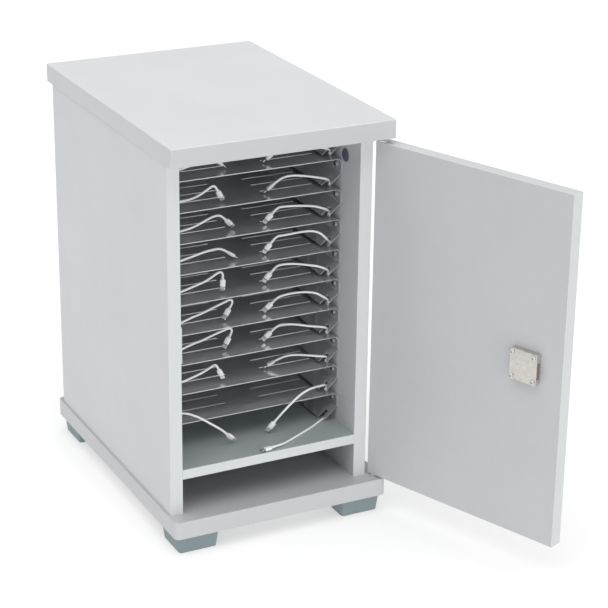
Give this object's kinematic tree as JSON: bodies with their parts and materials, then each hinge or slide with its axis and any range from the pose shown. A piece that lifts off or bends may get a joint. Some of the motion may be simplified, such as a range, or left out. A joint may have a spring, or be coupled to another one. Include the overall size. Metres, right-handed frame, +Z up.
{
  "type": "phone charging cabinet",
  "caption": "Board cabinet with a pivot-hung lockable door, sheet-metal charging shelves and a short captive lead for each phone.",
  "frame": {"origin": "bottom centre of the bounding box of everything but the free leads, with the door standing open at its rest angle", "axes": "+Z up, -Y towards the cabinet's front, +X towards the hinge side"},
  "size_m": [0.4266, 0.7108, 0.563],
  "materials": {
    "board_top": "white melamine laminate, fine pebble",
    "board_base": "white melamine laminate",
    "board_side": "pale grey-white melamine laminate",
    "board_back": "pale grey-white melamine laminate",
    "board_shelf": "white melamine laminate",
    "board_door": "pale grey-white melamine laminate",
    "foot_plastic": "satin moulded plastic",
    "zinc": "bright zinc plating",
    "steel_plate": "zinc plated",
    "lock_nickel": "satin nickel",
    "lock_brass": "worn brass",
    "lock_cylinder": "satin nickel",
    "lock_rosette": "bright nickel",
    "pin_steel": "turned steel",
    "bush_plastic": "acetal",
    "cap_plastic": "dark blue-grey cap",
    "cam_zinc": "die-cast zinc",
    "dowel_wood": "fluted beech",
    "hub_plastic": "black ABS",
    "psu_metal": "black powder coat",
    "inlet_plastic": "black",
    "lead_jacket": "soft white jacket",
    "plug_white": "white moulding with a bright metal tip",
    "shelf_metal": "dark grey semi-gloss coat over steel sheet"
  },
  "bodies": {
    "cabinet": {"back_panel": "board_back", "base_panel": "board_base", "cam_caps": "cap_plastic", "cam_fittings": "cam_zinc", "charging_shelf_01": "shelf_metal", "charging_shelf_02": "shelf_metal", "charging_shelf_03": "shelf_metal", "charging_shelf_04": "shelf_metal", "charging_shelf_05": "shelf_metal", "charging_shelf_06": "shelf_metal", "charging_shelf_07": "shelf_metal", "charging_shelf_08": "shelf_metal", "charging_shelf_09": "shelf_metal", "charging_shelf_10": "shelf_metal", "feet": "foot_plastic", "foot_screws": "zinc", "harness_left": "lead_jacket", "harness_right": "lead_jacket", "lead_left_01": "lead_jacket", "lead_left_02": "lead_jacket", "lead_left_03": "lead_jacket", "lead_left_04": "lead_jacket", "lead_left_05": "lead_jacket", "lead_left_06": "lead_jacket", "lead_left_07": "lead_jacket", "lead_left_08": "lead_jacket", "lead_left_09": "lead_jacket", "lead_left_10": "lead_jacket", "lead_plugs_left": "plug_white", "lead_plugs_right": "plug_white", "lead_right_01": "lead_jacket", "lead_right_02": "lead_jacket", "lead_right_03": "lead_jacket", "lead_right_04": "lead_jacket", "lead_right_05": "lead_jacket", "lead_right_06": "lead_jacket", "lead_right_07": "lead_jacket", "lead_right_08": "lead_jacket", "lead_right_09": "lead_jacket", "lead_right_10": "lead_jacket", "left_side_panel": "board_side", "lower_shelf": "board_shelf", "pivot_pins": "pin_steel", "power_inlet": "inlet_plastic", "power_supply": "psu_metal", "right_side_panel": "board_side", "shelf_screws": "zinc", "strike_plate": "steel_plate", "strike_screws": "zinc", "top_panel": "board_top", "usb_hub_left": "hub_plastic", "usb_hub_right": "hub_plastic", "wooden_dowels": "dowel_wood"},
    "door": {"door_panel": "board_door", "pivot_bushes": "bush_plastic", "lock_case": "lock_nickel", "lock_screws": "zinc", "lock_rosette": "lock_rosette"},
    "bolt": {"lock_bolt": "lock_brass"},
    "cylinder": {"lock_cylinder": "lock_cylinder"}
  },
  "joints": [
    {"name": "door_hinge", "type": "hinge", "parent": "cabinet", "child": "door", "pos_m": [0.09198, -0.07061, 0.29], "axis": [0, 0, 1], "range_deg": [-111, 69]},
    {"name": "key_turn", "type": "hinge", "parent": "door", "child": "cylinder", "pos_m": [0.18516, -0.30134, 0.2926], "axis": [0.9336, 0.3584, 0], "range_deg": [0, 180]},
    {"name": "bolt_slide", "type": "slide", "parent": "door", "child": "bolt", "axis": [0.3584, -0.9336, 0], "range_m": [0, 0.021]}
  ],
  "couplings": [
    {"joint": "bolt_slide", "follows": "key_turn", "m_per_rad": 0.0066845}
  ]
}
